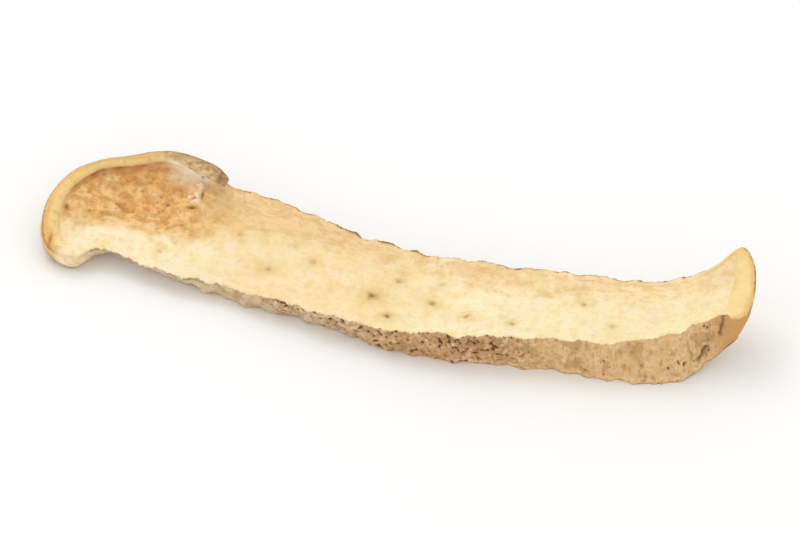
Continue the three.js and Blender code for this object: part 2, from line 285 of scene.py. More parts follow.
# Relief: height, size of its lumps, seed, how drawn out it is along x, y and z
ROUND = (1.0, 1.0, 1.0)
FACE_RELIEF = [(0.04, 0.5, 7, (4.0, 1.0, 1.0)), (0.04, 0.7, 10, ROUND), (0.06, 2.2, 11, ROUND)]
HOLLOW_RELIEF = [(0.08, 0.9, 12, ROUND)]
RIM_RELIEF = [(0.05, 1.4, 13, (1.6, 1.6, 1.0)), (0.03, 0.6, 14, ROUND)]
TONGUE_RELIEF = [(0.06, 0.7, 15, ROUND)]
BARK_RELIEF = [(0.14, 1.7, 16, ROUND), (0.07, 0.6, 17, ROUND)]
STRIATED_RELIEF = [(0.06, 0.45, 19, (1.0, 1.0, 5.0))]
SKIN_RELIEF = [(0.05, 1.3, 20, ROUND), (0.03, 0.5, 21, ROUND)]
UNDER_RELIEF = [(0.08, 1.3, 22, ROUND), (0.04, 0.5, 23, (2.0, 1.0, 1.0))]
RAGGED_EDGE = [(0.07, 1.3, 24, ROUND), (0.06, 0.6, 25, ROUND), (0.05, 0.35, 26, ROUND)]
WRINKLE_DEPTH = 0.10
BUNDLE_DEPTH = 0.12
HALO_HEIGHT = 0.03
ARC_HEIGHT = 0.03
GRAIN_HEIGHT = 0.12
BARK_PIT_DEPTH = 0.24
BARK_CRACK_DEPTH = 0.35
NICK_DEPTH = 0.15
NICK_REACH = 0.45

# How far from a cut edge it is ragged, and how close to it the other relief stops. The foot is ragged as the
# top is a few points before, and a little more so
RAGGED_TOP_REACH = 0.45
RAGGED_FOOT_REACH = 0.5
RAGGED_FOOT_SHARE = 1.2
RAGGED_FOOT_SHIFT = 7
SHARP_TOP_REACH = 0.22
SHARP_FOOT_REACH = 0.3
# What stands in for the rim's width and the wall's height at the points on the middle lines
MIDDLE_LIP_WIDTH = 0.8
MIDDLE_WALL_HEIGHT = 4.0


def smooth(low, high, value):
    share = np.clip((value - low) / (high - low), 0.0, 1.0)
    return share * share * (3.0 - 2.0 * share)


def waves(table, u, v=0.0):
    return sum(size * np.sin(along_u * u + along_v * v + phase) for size, along_u, along_v, phase in table)


def dent(shape, x, y):
    middle_x, middle_y, radius_x, radius_y, depth = shape
    return depth * np.exp(-((x - middle_x) / radius_x) ** 2 - ((y - middle_y) / radius_y) ** 2)


def near(value, middle, reach):
    """1 at the middle, fading to 0 on both sides."""
    return np.exp(-((value - middle) / reach) ** 2)


def unit(vectors):
    return vectors / np.maximum(np.linalg.norm(vectors, axis=-1, keepdims=True), 1e-9)


def lie(x, y):
    """Height of the smooth cut face."""
    rows = np.array(LIE)
    weights = np.exp(-((np.asarray(x)[..., None] - rows[:, 0]) / LIE_BLEND) ** 2)
    heights = rows[:, 2] + rows[:, 3] * (np.asarray(y)[..., None] - rows[:, 1])
    return (weights * heights).sum(axis=-1) / weights.sum(axis=-1)


def underside(x, y):
    """Height of the underside, before it is pressed flat on the ground."""
    gain = THICKNESS_GAIN * smooth(*THICKNESS_GAIN_SPAN, x)
    loss = THICKNESS_LOSS * smooth(*THICKNESS_LOSS_SPAN, x)
    thickness = THICKNESS_AT_LOBE + gain - loss
    dents = HOLLOW_BELOW * dent(HOLLOW, x, y) + dent(FLAT_SPOT, x, y)
    return lie(x, y) - thickness - dents + waves(BASE_WAVES, x, y)


def rows_on_curve(rows, steps_of_span):
    """Rows of numbers along the closed centripetal Catmull-Rom curve through the given rows."""
    rows = np.array(rows)
    curve = []
    for index, steps in enumerate(steps_of_span):
        before, start, end, after = (rows[(index + offset) % len(rows)] for offset in (-1, 0, 1, 2))
        pairs = ((before, start), (start, end), (end, after))
        gap_before, gap_here, gap_after = (math.sqrt(np.linalg.norm((b - a)[:3])) for a, b in pairs)
        rise = (end - start) / gap_here
        leave = gap_here * ((start - before) / gap_before - (end - before) / (gap_before + gap_here) + rise)
        arrive = gap_here * (rise - (after - start) / (gap_here + gap_after) + (after - end) / gap_after)
        share = (np.arange(steps) / steps)[:, None]
        cubic = 2 * start - 2 * end + leave + arrive
        square = 3 * end - 3 * start - 2 * leave - arrive
        curve.append(((cubic * share + square) * share + leave) * share + start)
    return np.concatenate(curve)


def around(values):
    """The difference between each sample's two neighbours on the closed edge."""
    return np.roll(values, -1, axis=0) - np.roll(values, 1, axis=0)


def edge_samples():
    """The top edge as arrays, with all that a ring needs to know about its place on the edge."""
    spans = len(FRONT_EDGE) - 1
    side_spans = [SIDE_STEPS] * spans
    steps = side_spans + [END_STEPS] * (len(RIGHT_END) + 1) + side_spans + [END_STEPS] * (len(LEFT_END) + 1)
    rows = rows_on_curve(FRONT_EDGE + RIGHT_END + BACK_EDGE + LEFT_END, steps)
    edge = SimpleNamespace(count=len(rows), top=rows[:, :3].copy(), lip_width=rows[:, 6], lean=rows[:, 7])
    index = np.arange(edge.count)
    side_length = spans * SIDE_STEPS
    back_end = 2 * side_length + END_STEPS * (len(RIGHT_END) + 1)
    edge.spine = np.clip(np.minimum(index, back_end - index), 0, side_length)

    edge.tangent = unit(around(edge.top) * [1.0, 1.0, 0.0])
    edge.outward = np.stack([edge.tangent[:, 1], -edge.tangent[:, 0], np.zeros(edge.count)], axis=1)
    lengths = np.linalg.norm(np.roll(edge.top, -1, axis=0) - edge.top, axis=1)
    edge.travelled = np.concatenate([[0.0], np.cumsum(lengths)[:-1]])

    x = edge.top[:, 0]
    rear_left = (edge.top[:, 1] > 0) & (x < 0)
    kept = np.where(rear_left, 1 - smooth(TONGUE_END - TONGUE_FADE, TONGUE_END, x), 1.0)
    edge.lip_height = BARE_RIM + (rows[:, 5] - BARE_RIM) * kept
    growth = smooth(TONGUE_END - TONGUE_ROOT, TONGUE_END - TONGUE_FADE, x)
    edge.tongue = np.where(rear_left, growth * smooth(*TONGUE_RIM, edge.lip_height), 0.0)
    edge.torn = 1 - smooth(*TORN_RIM, edge.lip_height)

    notch_x, notch_reach, notch_depth = NOTCH
    notch = np.where(rear_left, notch_depth * np.exp(-((x - notch_x) / notch_reach) ** 2), 0.0)
    edge.top -= edge.outward * notch[:, None]
    edge.top += edge.outward * (waves(EDGE_WAVES, edge.travelled) * edge.torn)[:, None]
    foot_wave = FOOT_WAVE_SHARE * waves(EDGE_WAVES, edge.travelled + FOOT_WAVE_SHIFT) * edge.torn
    edge.foot = edge.top + edge.outward * (foot_wave - rows[:, 3])[:, None]
    edge.foot[:, 2] = rows[:, 4]
    edge.wall_height = np.linalg.norm(edge.top - edge.foot, axis=1)

    front = np.arange(side_length + 1)
    edge.middle_line = (edge.top[front] + edge.top[back_end - front]) / 2
    edge.middle = edge.middle_line[edge.spine]
    edge.reach = np.linalg.norm(edge.middle - edge.top, axis=1)
    edge.inward = unit(edge.middle - edge.top)
    edge.up = unit(np.cross(around(edge.top), edge.inward))
    return edge


def face_ring(edge, share):
    """A ring of the cut face, and each point's distance in from the edge. Share is 1 at the rim's foot."""
    inset = edge.reach + (edge.lip_width - edge.reach) * share
    rim_foot = edge.top + edge.inward * edge.lip_width[:, None]
    points = edge.top + edge.inward * inset[:, None]
    x, y = points[:, 0], points[:, 1]
    crease_depth = CREASE_DEPTH * smooth(*CREASE_RIM, edge.lip_height)
    crease = crease_depth * np.exp(-((inset - edge.lip_width) / CREASE_WIDTH) ** 2)
    rise = (rim_foot[:, 2] - lie(rim_foot[:, 0], rim_foot[:, 1])) * share ** EDGE_RISE_POWER
    dish = dent(HOLLOW, x, y) * (1 - share ** HOLLOW_EDGE_POWER)
    points[:, 2] = lie(x, y) + rise + waves(FACE_WAVES, x, y) - dish - crease
    return points, inset


def lip_ring(edge, angle):
    """A ring of the rim, from its inner foot at pi over the crest to the outer edge at 0."""
    height = edge.lip_height * math.sin(angle)
    across = edge.lip_width / 2 * (1 - math.cos(angle))
    inset = across + edge.lean * height * math.sin(angle)
    points = edge.top + edge.inward * inset[:, None] + edge.up * height[:, None]
    run_on = TONGUE_REACH * edge.tongue * smooth(*TONGUE_UNDERCUT, math.sin(angle))
    points -= edge.tangent * run_on[:, None]
    points[:, 2] += waves(FACE_WAVES, points[:, 0], points[:, 1])
    return points, across


def wall_ring(edge, share):
    """A ring of the wall. Share runs from 0 at the top edge to 1 at the foot."""
    points = edge.top + (edge.foot - edge.top) * share
    points += edge.outward * (WALL_BULGE * math.sin(math.pi * share))
    points[:, 2] += waves(FACE_WAVES, edge.top[:, 0], edge.top[:, 1]) * (1 - share)
    points[:, 2] = np.maximum(0.0, points[:, 2])
    return points, -edge.wall_height * share


def base_ring(edge, share):
    """A ring of the underside. Share runs from 1 at the foot of the wall to 0 on the middle line."""
    foot = edge.foot
    points = edge.middle + (foot - edge.middle) * share
    rise = (foot[:, 2] - underside(foot[:, 0], foot[:, 1])) * share ** EDGE_RISE_POWER
    points[:, 2] = np.maximum(0.0, underside(points[:, 0], points[:, 1]) + rise)
    return points, -edge.wall_height - edge.reach * (1 - share)


def slice_surface():
    """The edge, the surface's points with where each lies on the slice, and its faces."""
    edge = edge_samples()
    x, y = edge.middle_line[:, 0], edge.middle_line[:, 1]
    face_height = lie(x, y) + waves(FACE_WAVES, x, y) - dent(HOLLOW, x, y)
    base_height = np.maximum(0.0, underside(x, y))
    face_shares = (np.arange(1, FACE_RINGS + 1) / (FACE_RINGS + 1)) ** FACE_CROWDING
    lip_angles = math.pi * (1 - np.arange(LIP_RINGS + 1) / LIP_RINGS)
    wall_shares = np.arange(1, WALL_RINGS + 1) / WALL_RINGS
    base_shares = 1 - np.arange(1, BASE_RINGS + 1) / (BASE_RINGS + 1)
    rings = [face_ring(edge, share) for share in face_shares]
    rings += [lip_ring(edge, angle) for angle in lip_angles]
    rings += [wall_ring(edge, share) for share in wall_shares]
    rings += [base_ring(edge, share) for share in base_shares]

    ends = len(x)
    surface = SimpleNamespace(edge=edge, rings=len(rings), ends=ends)
    ring_points = [ring[0] for ring in rings]
    face_middle = np.column_stack([x, y, face_height])
    base_middle = np.column_stack([x, y, base_height])
    surface.points = np.concatenate([face_middle, *ring_points, base_middle])
    half_width = edge.reach[:ends]
    far_below = -edge.wall_height[:ends] - half_width
    surface.across = np.concatenate([half_width, *[ring[1] for ring in rings], far_below])

    first = ends
    last = first + (len(rings) - 1) * edge.count
    base_start = last + edge.count
    here = np.arange(edge.count)
    after = np.roll(here, -1)
    faces = []
    for start in range(first, last, edge.count):
        outer = start + edge.count
        faces += np.column_stack([start + here, outer + here, outer + after, start + after]).tolist()
    for i, j in zip(here.tolist(), after.tolist()):
        a, b = int(edge.spine[i]), int(edge.spine[j])
        if a == b:
            faces.append([first + i, first + j, a])
            faces.append([last + i, base_start + a, last + j])
        else:
            faces.append([first + i, first + j, b, a])
            faces.append([last + i, base_start + a, base_start + b, last + j])
    surface.faces = faces
    return surface


def on_points(surface, values, on_middle=0.0):
    """Spreads one value for each edge sample over all the points that belong to the sample."""
    middle = np.full(surface.ends, on_middle)
    return np.concatenate([middle, np.tile(values, surface.rings), middle])


def normals_of(points, faces):
    """A unit normal for each point, from the faces around it."""
    corners = np.array([face if len(face) == 4 else face + face[-1:] for face in faces])
    diagonal_a = points[corners[:, 2]] - points[corners[:, 0]]
    diagonal_b = points[corners[:, 3]] - points[corners[:, 1]]
    face_normals = np.cross(diagonal_a, diagonal_b)
    normals = np.zeros_like(points)
    for corner in range(4):
        np.add.at(normals, corners[:, corner], face_normals)
    return unit(normals)


def rough(points, size, seed, stretch=ROUND):
    """Smooth noise of about -1 to 1 with lumps of the given size, drawn out along the axes by stretch."""
    scaled = points / (size * np.array(stretch)) + seed * np.array([17.3, 9.1, 5.7])
    return np.array([noise.noise(Vector(point)) for point in scaled]) * 1.6


def relief(points, table):
    return sum(height * rough(points, size, seed, stretch) for height, size, seed, stretch in table)


def grains(points, size, seed):
    """Rounded grains: 1 in the middle of each and 0 in the seams between them."""
    scaled = points / size + seed * np.array([11.9, 3.3, 7.1])
    nearest = np.array([noise.voronoi(Vector(point))[0][:2] for point in scaled])
    return np.clip(nearest[:, 1] - nearest[:, 0], 0.0, 1.0)


def crack_field(crack, x, z, wander):
    """1 on the line of a crack, fading to 0 beside it and past its ends."""
    start_x, start_z, end_x, end_z, half_width = crack
    run_x, run_z = end_x - start_x, end_z - start_z
    length = math.hypot(run_x, run_z)
    along = ((x - start_x) * run_x + (z - start_z) * run_z) / length ** 2
    off = ((x - start_x) * run_z - (z - start_z) * run_x) / length + wander
    return near(off, 0.0, half_width) * smooth(*CRACK_ENDS, along) * smooth(*CRACK_ENDS, 1 - along)


def places(surface):
    """Where each point of the surface lies on the slice."""
    edge, base, across = surface.edge, surface.points, surface.across
    at = SimpleNamespace(base=base, across=across, normals=normals_of(base, surface.faces))
    at.x, at.y, at.z = base.T
    lip_width = on_points(surface, edge.lip_width, MIDDLE_LIP_WIDTH)
    at.past_rim = across - lip_width
    at.lip_share = across / lip_width + 0.10 * rough(base, 0.7, 29)
    at.above_foot = across + on_points(surface, edge.wall_height, MIDDLE_WALL_HEIGHT)
    at.outward = np.column_stack([on_points(surface, edge.outward[:, axis]) for axis in range(3)])
    at.rear = smooth(-0.2, 0.2, at.outward[:, 1])
    at.torn = on_points(surface, edge.torn) * (1 - at.rear * smooth(*TIP_SKIN_X, at.x))
    at.rimmed = 1 - at.torn
    at.on_face = smooth(-0.05, 0.1, across)
    at.on_wall = (1 - at.on_face) * smooth(-0.3, 0.3, at.above_foot)
    at.below = 1 - smooth(-0.3, 0.3, at.above_foot)
    at.inside = smooth(0.0, 0.3, at.past_rim) * at.on_face
    return at


def mark_lobe(at):
    """The brown wrinkled flesh of the lobe, the painted shade in the crease along its rim's foot, and the
    tongue, with painted shade under it.
    """
    x, y, base = at.x, at.y, at.base
    marks = {}
    line_x, line_y = np.array(TAN_LINE).T
    tan_side = y - np.interp(x, line_x, line_y)
    marks["tan_side"] = tan_side
    flesh = smooth(-1.1, 1.3, tan_side + 0.6 * rough(base, 1.6, 1) + 0.3 * rough(base, 0.6, 2))
    marks["hollow"] = flesh * smooth(*HOLLOW_X, x + rough(base, 1.3, 3)) * at.inside
    slanted = np.column_stack([x + 0.7 * y, y - 0.4 * x, at.z])
    wide_wrinkle = smooth(0.15, 0.75, rough(slanted, 0.85, 9, (1.5, 0.8, 1.0)))
    fine_wrinkle = smooth(0.15, 0.70, rough(base, 0.45, 27, (1.0, 1.3, 1.0)))
    marks["wrinkle"] = np.maximum(wide_wrinkle, 0.7 * fine_wrinkle) * marks["hollow"]

    marks["left_rim"] = at.rimmed * smooth(*LEFT_RIM_X, x)
    marks["streak"] = dent(RIM_STREAK_SPOT, x, y)
    # Painted shade: the crease under the rim is darkened where the rim shades it
    crease = near(at.past_rim, 0.0, np.where(at.past_rim > 0, CREASE_SHADE_ON_FACE, CREASE_SHADE_ON_RIM))
    crease *= smooth(*CREASE_SHADE_Y, y) * smooth(*CREASE_SHADE_X, x) * (0.75 + 0.45 * rough(base, 1.0, 28))
    marks["crease"] = np.clip(crease, 0.0, 1.0) * at.rimmed

    hook = at.rimmed * smooth(*HOOK_START_X, x) * smooth(*HOOK_Y, y) * smooth(*HOOK_STOP_X, x)
    marks["hook"] = hook
    marks["tongue_end"] = hook * smooth(*TONGUE_TIP_X, x + 0.4 * rough(base, 0.8, 34))
    pale_inner = hook * smooth(*PALE_INNER_SHARE, at.lip_share) * at.on_face
    marks["pale_inner"] = pale_inner * smooth(*PALE_INNER_X, x)
    # Painted shade: a pale pinkish tint on the rim's inner side under the tongue
    lilac_shade = np.clip(dent(LILAC_SHADE_SPOT, x, y), 0.0, 1.0)
    marks["lilac_shade"] = lilac_shade * at.on_face * smooth(*LILAC_SHADE_SHARE, at.lip_share)
    # Painted shade of the gap under the tongue, on the rim's inner side and only high up
    gap_shade = crack_field(TONGUE_GAP_SHADE, x, y, 0.12 * rough(base, 0.5, 38)) * at.on_face
    marks["tongue_gap_shade"] = gap_shade * smooth(*TONGUE_GAP_SHADE_SHARE, at.lip_share) * smooth(*TONGUE_GAP_SHADE_Z, at.z)
    patch = near(at.past_rim, *PALE_PATCH_BAND) * smooth(-0.3, 0.3, rough(base, 0.6, 37)) * at.inside
    patch *= smooth(*PALE_PATCH_START_X, x) * smooth(*PALE_PATCH_STOP_X, x)
    marks["pale_patch"] = patch * smooth(*PALE_PATCH_Y, y)
    return marks


def mark_face(at):
    """The bundles, pits, flakes and saw arcs of the cut face, and how far they lift it."""
    x, y = at.x, at.y
    uneven = rough(at.base, 0.45, 30)
    bundle, halo, flesh_pit, pit_depth, flake, flake_height = np.zeros((6, len(x)))
    for middle_x, middle_y, radius, darkness in BUNDLES:
        distance = np.hypot((x - middle_x) / BUNDLE_STRETCH, y - middle_y) / radius
        bundle = np.maximum(bundle, near(distance + 0.25 * uneven, 0.0, BUNDLE_PIT) * darkness)
        halo = np.maximum(halo, near(distance + 0.6 * uneven, 0.0, BUNDLE_HALO) * darkness)
    for middle_x, middle_y, radius_x, radius_y, depth in FLESH_PITS:
        distance = np.hypot((x - middle_x) / radius_x, (y - middle_y) / radius_y)
        field = near(distance + 0.35 * uneven, 0.0, 1.0)
        flesh_pit = np.maximum(flesh_pit, field)
        pit_depth = np.maximum(pit_depth, field * depth)
    uneven_flake = 0.8 * rough(at.base, 0.4, 4)
    for middle_x, middle_y, radius, height in FLAKES:
        distance = np.hypot((x - middle_x) / FLAKE_STRETCH, y - middle_y) / radius
        field = smooth(1.0, 0.55, distance + uneven_flake)
        flake = np.maximum(flake, field)
        flake_height = np.maximum(flake_height, field * height)
    arc_x, arc_y, arc_stretch, arc_gap, arc_reach = ARCS
    arc_radius = np.hypot((x - arc_x) / arc_stretch, y - arc_y)
    arcs = np.sin(arc_radius * 2 * math.pi / arc_gap + rough(at.base, 1.5, 8) * 2.0)
    arcs *= smooth(arc_reach, arc_reach / 2, arc_radius) * at.on_face
    marks = {"bundle": bundle * at.on_face, "halo": halo * at.on_face, "arcs": arcs}
    marks |= {"flesh_pit": flesh_pit * at.inside, "flake": flake * at.inside}
    lift = (flake_height - pit_depth) * at.inside + ARC_HEIGHT * arcs
    return marks, lift + HALO_HEIGHT * halo - BUNDLE_DEPTH * bundle


def mark_walls(at):
    """The pits, grains and cracks of the bark, and the smooth skin below a rim."""
    x, base, front = at.x, at.base, 1 - at.rear
    marks = {}
    frayed = smooth(*FRAYED_START_X, x + 2.2 * rough(base, 1.5, 35) + rough(base, 0.6, 36))
    marks["skin"] = at.rimmed * (1 - at.rear * frayed * smooth(*FRAYED_STOP_X, x))
    dense = sum(strength * near(x, middle, reach) for middle, reach, strength in PITTED_STRETCHES)
    middle, reach, strength = PITTED_BEFORE_TIP
    dense += strength * near(x, middle, reach) * front + PITTED_BEHIND * at.rear + PITTED_LEAST
    pitted = np.clip(dense, 0.0, PITTED_MOST) * at.torn
    marks["pitted"] = pitted
    marks["raised"] = BARK_RISE * smooth(*BARK_RISE_START_X, x) * smooth(*BARK_RISE_STOP_X, x) * front
    on_bark = smooth(0.3, 0.0, at.across - marks["raised"])
    threshold = 0.90 - 0.55 * pitted
    pits = smooth(threshold, threshold + 0.6, rough(base, 0.5, 5) + 0.5 * rough(base, 0.27, 6))
    marks["pit"] = pits * on_bark * smooth(-0.5, 0.3, at.above_foot) * at.torn
    wander = 0.12 * rough(base, 0.5, 31)
    cracks = [crack_field(row, x, at.z, wander) for row in BARK_CRACKS]
    marks["bark_crack"] = np.max(cracks, axis=0) * on_bark * front
    grain = smooth(0.45, 0.75, grains(base, 0.6, 18)) * smooth(0.0, 0.4, rough(base, 1.3, 32))
    marks["grain"] = grain * pitted * at.on_wall
    low_in_front = smooth(*PALE_FOOT_HEIGHT, at.above_foot) * at.on_wall * front
    marks["pale_foot"] = smooth(*PALE_FOOT_X, x) * low_in_front
    return marks


def lift_by_relief(at, marks, spots_lift):
    """How far each point moves along its normal."""
    base = at.base
    face_lift = relief(base, FACE_RELIEF) + marks["hollow"] * relief(base, HOLLOW_RELIEF) + spots_lift
    face_lift -= WRINKLE_DEPTH * marks["wrinkle"]
    rim_lift = relief(base, RIM_RELIEF) + marks["hook"] * relief(base, TONGUE_RELIEF)
    on_rim = at.rimmed * smooth(0.3, -0.3, at.past_rim)
    bark_lift = relief(base, BARK_RELIEF) + near(at.x, *STRIATED_X) * at.torn * relief(base, STRIATED_RELIEF)
    bark_lift += GRAIN_HEIGHT * marks["grain"] - BARK_PIT_DEPTH * marks["pit"]
    bark_lift -= BARK_CRACK_DEPTH * marks["bark_crack"]
    wall_lift = (at.torn * bark_lift + at.rimmed * relief(base, SKIN_RELIEF)) * smooth(0.0, -0.5, at.across)
    lift = at.on_face * (face_lift * (1 - on_rim) + rim_lift * on_rim)
    lift += at.on_wall * wall_lift + at.below * relief(base, UNDER_RELIEF)
    # None of it right at a sharp edge, where the normals turn too fast
    lift *= 1 - at.torn * near(at.across, 0.0, SHARP_TOP_REACH)
    return lift * (1 - near(at.above_foot, 0.0, SHARP_FOOT_REACH))


def push_by_ragged_edges(surface, at, pit):
    """How far each point moves outward where a cut edge has no rim, and where its frayed fibres are."""
    top_points = np.column_stack([on_points(surface, surface.edge.top[:, axis]) for axis in range(3)])
    ragged = relief(top_points, RAGGED_EDGE)
    at_top = near(at.across, 0.0, RAGGED_TOP_REACH) * at.torn
    at_foot = near(at.above_foot, 0.0, RAGGED_FOOT_REACH) * at.torn
    push = ragged * at_top + RAGGED_FOOT_SHARE * np.roll(ragged, RAGGED_FOOT_SHIFT) * at_foot
    push -= NICK_DEPTH * pit * smooth(NICK_REACH, 0.0, np.abs(at.across))
    fibre, fibre_height = np.zeros((2, len(at.x)))
    on_back_edge = at.rear * near(at.across, 0.0, FIBRE_REACH)
    for middle_x, half_length, height in FIBRES:
        field = np.exp(-((at.x - middle_x) / half_length) ** 4) * on_back_edge
        fibre = np.maximum(fibre, field)
        fibre_height = np.maximum(fibre_height, field * height)
    push += fibre_height * (0.6 + 0.8 * rough(at.base, 0.3, 33))
    return push, fibre


def dress(surface):
    """The surface's points with the fine relief added, and the marks that its colours follow."""
    at = places(surface)
    face_marks, spots_lift = mark_face(at)
    marks = mark_lobe(at) | face_marks | mark_walls(at)
    lift = lift_by_relief(at, marks, spots_lift)
    push, marks["fibre"] = push_by_ragged_edges(surface, at, marks["pit"])
    points = at.base + at.normals * lift[:, None] + at.outward * push[:, None]
    points[:, 2] = np.maximum(0.0, points[:, 2])
    marks["lip"] = smooth(0.15, -0.15, at.past_rim) * at.rimmed
    marks |= {"rear": at.rear, "along": at.x, "back": at.y, "across": at.across, "above_foot": at.above_foot}
    return points, marks


def make_slice():
    """The slice's mesh object, placed where the frame's node is."""
    surface = slice_surface()
    points, marks = dress(surface)
    low, high = surface.points.min(axis=0), surface.points.max(axis=0)
    box_low, box_high = (np.array(corner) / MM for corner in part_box(NODE))
    shift = (box_low + box_high) / 2 - (low + high) / 2
    shift[2] = box_low[2] - low[2]
    mesh = bpy.data.meshes.new("yam_slice_surface")
    mesh.from_pydata(((points + shift) * MM).tolist(), [], surface.faces)
    mesh.polygons.foreach_set("use_smooth", [True] * len(mesh.polygons))
    for name, values in marks.items():
        layer = mesh.attributes.new(name, "FLOAT", "POINT")
        layer.data.foreach_set("value", values.astype(np.float32))
    mesh.update()
    piece = bpy.data.objects.new("dried_yam_slice", mesh)
    bpy.context.scene.collection.objects.link(piece)
    return piece


def linear(red, green, blue):
    """A colour given in 0 to 255 as the eye sees it, as the light that a shader works with."""
    def one(value):
        value /= 255
        return value / 12.92 if value <= 0.04045 else ((value + 0.055) / 1.055) ** 2.4
    return (one(red), one(green), one(blue), 1.0)


CREAM_FRONT = linear(250, 234, 193)
CREAM_RIGHT = linear(246, 227, 182)
CREAM_YELLOW = linear(242, 214, 150)
CREAM_PINK = linear(250, 228, 202)
CREAM_DULL = linear(238, 214, 160)
TAN = linear(237, 204, 149)
TAN_STREAK = linear(222, 178, 117)
SPECK = linear(190, 150, 96)
HOLLOW_LIGHT = linear(240, 198, 128)
HOLLOW_DARK = linear(220, 164, 92)
WRINKLE_BROWN = linear(164, 104, 48)
# Painted shade in the crease under the rim
CREASE_SHADE_BROWN = linear(174, 98, 36)
RIM_OUTER = linear(216, 174, 106)
RIM_ORANGE = linear(234, 184, 110)
RIM_INNER = linear(238, 206, 142)
RIM_STREAK = linear(196, 152, 84)
RIM_RIGHT = linear(243, 215, 155)
RIM_LINE = linear(232, 180, 106)
TONGUE_SKIN = linear(216, 184, 134)
TONGUE_DARK = linear(172, 130, 84)
TONGUE_END_BROWN = linear(136, 98, 58)
PALE_INNER = linear(250, 236, 204)
# Pale pinkish tint of the painted shade under the tongue
LILAC_SHADE = linear(250, 232, 216)
STREAK_BROWN = linear(186, 118, 62)
# Dark line of the top edge, partly painted shade, and the painted shade on the tongue's outer edge
EDGE_LINE_AND_SHADE = linear(146, 118, 82)
FIBRE_BROWN = linear(112, 92, 60)
BUNDLE_BROWN = linear(148, 108, 50)
HALO_TAN = linear(226, 190, 122)
# Brown of the flesh pits, and the painted shade of the gap under the tongue
PIT_AND_GAP_SHADE_BROWN = linear(136, 84, 38)
FLAKE_WHITE = linear(252, 232, 200)
PATCH_PALE = linear(234, 216, 172)
BARK_LEFT = linear(210, 188, 150)
BARK_MID = linear(202, 159, 110)
BARK_RIGHT = linear(224, 186, 130)
BARK_LIGHT = linear(238, 206, 160)
BARK_DARK = linear(160, 116, 72)
BARK_PIT = linear(112, 78, 46)
GRAIN_WHITE = linear(246, 230, 210)
FOOT_PALE = linear(244, 206, 156)
SKIN_BROWN = linear(216, 168, 104)
SKIN_ORANGE = linear(244, 198, 128)
SKIN_PALE = linear(248, 228, 186)
SKIN_RIGHT = linear(206, 154, 96)
# Painted shade low on the skin's wall and at its foot
SKIN_FOOT_SHADE = linear(142, 104, 66)
UNDER_TAN = linear(226, 192, 142)
UNDER_BROWN = linear(204, 162, 110)

# How far apart in the noise two seeds lie
SEED_STEP = (7.3, 3.1, 5.9)
# Patches of noise: size, seed, detail, where they begin, where they are full, how drawn out they are
PINK_PATCHES = (1.7, 2, 3.0, 0.5, 0.68)
YELLOW_PATCHES = (1.2, 1, 3.0, 0.48, 0.66)
TAN_GAPS = (1.5, 27, 3.0, 0.54, 0.68)
FACE_STREAKS = (0.7, 4, 4.0, 0.5, 0.68, (3.5, 1.0, 1.0))
FACE_CLOUDS = (1.0, 5, 4.0, 0.5, 0.64, (1.5, 1.0, 1.0))
FACE_MOTTLE = (0.55, 6, 3.0, 0.5, 0.68)
FACE_SPECKS = (0.25, 7, 2.0, 0.66, 0.78)
HOLLOW_SHADES = (1.0, 8, 4.0, 0.38, 0.62, (1.6, 1.0, 1.0))
HOLLOW_PALE = (0.7, 9, 4.0, 0.52, 0.66, (1.8, 1.0, 1.0))
HOLLOW_STRANDS = (0.4, 10, 3.0, 0.52, 0.7, (1.2, 1.0, 1.0))
RIM_STREAKS = (0.6, 12, 4.0, 0.5, 0.7)
TONGUE_BLOTCHES = (0.8, 13, 4.0, 0.36, 0.66)
SKIN_BLOTCHES = (1.1, 14, 4.0, 0.5, 0.75)
BARK_LIGHTS = (0.8, 16, 4.0, 0.45, 0.68)
BARK_PATCHES = (1.4, 28, 3.0, 0.5, 0.66)
BARK_DARKS = (0.45, 17, 3.0, 0.48, 0.68)
BARK_GROOVES = (0.5, 18, 3.0, 0.5, 0.7, (1.0, 1.0, 4.0))
BARK_SPECKS = (0.2, 19, 2.0, 0.6, 0.7)
FOOT_PATCHES = (0.5, 20, 3.0, 0.4, 0.6)
UNDER_SHADES = (2.4, 21, 5.0, 0.34, 0.72)
UNDER_STREAKS = (0.8, 22, 4.0, 0.5, 0.74, (3.0, 1.0, 1.0))
UNDER_SPECKS = (0.35, 29, 3.0, 0.56, 0.72)
OUTLINE_PATCHES = (0.8, 25, 3.0, 0.35, 0.6)
BUMP_NOISE = (0.22, 26, 4.0)
# How noise shakes a mark: how far, size, seed, detail
TAN_SHAKE = (4.4, 2.0, 3, 4.0)
RIM_SHAKE = (0.5, 0.7, 11, 3.0)
SKIN_FOOT_SHADE_SHAKE = (0.5, 0.6, 15, 3.0)
EDGE_SHAKE = (0.5, 0.35, 23, 3.0)
FOOT_SHAKE = (0.6, 0.6, 24, 3.0)
# Darker patches of the cut face: which patches, strength gained on the tan side, strength everywhere
TAN_LAYERS = [(FACE_STREAKS, 0.55, 0.12), (FACE_CLOUDS, 0.45, 0.12), (FACE_MOTTLE, 0.25, 0.2)]
# Marks on the cut face from the lowest to the topmost: name, strength, colour
FACE_MARKS = [
    ("halo", 0.9, HALO_TAN),
    ("bundle", 0.95, BUNDLE_BROWN),
    # painted shade under the tongue, as a pale pinkish tint
    ("lilac_shade", 0.85, LILAC_SHADE),
    ("pale_patch", 0.8, PATCH_PALE),
    ("flake", 0.8, FLAKE_WHITE),
    ("flesh_pit", 1.0, PIT_AND_GAP_SHADE_BROWN),
]
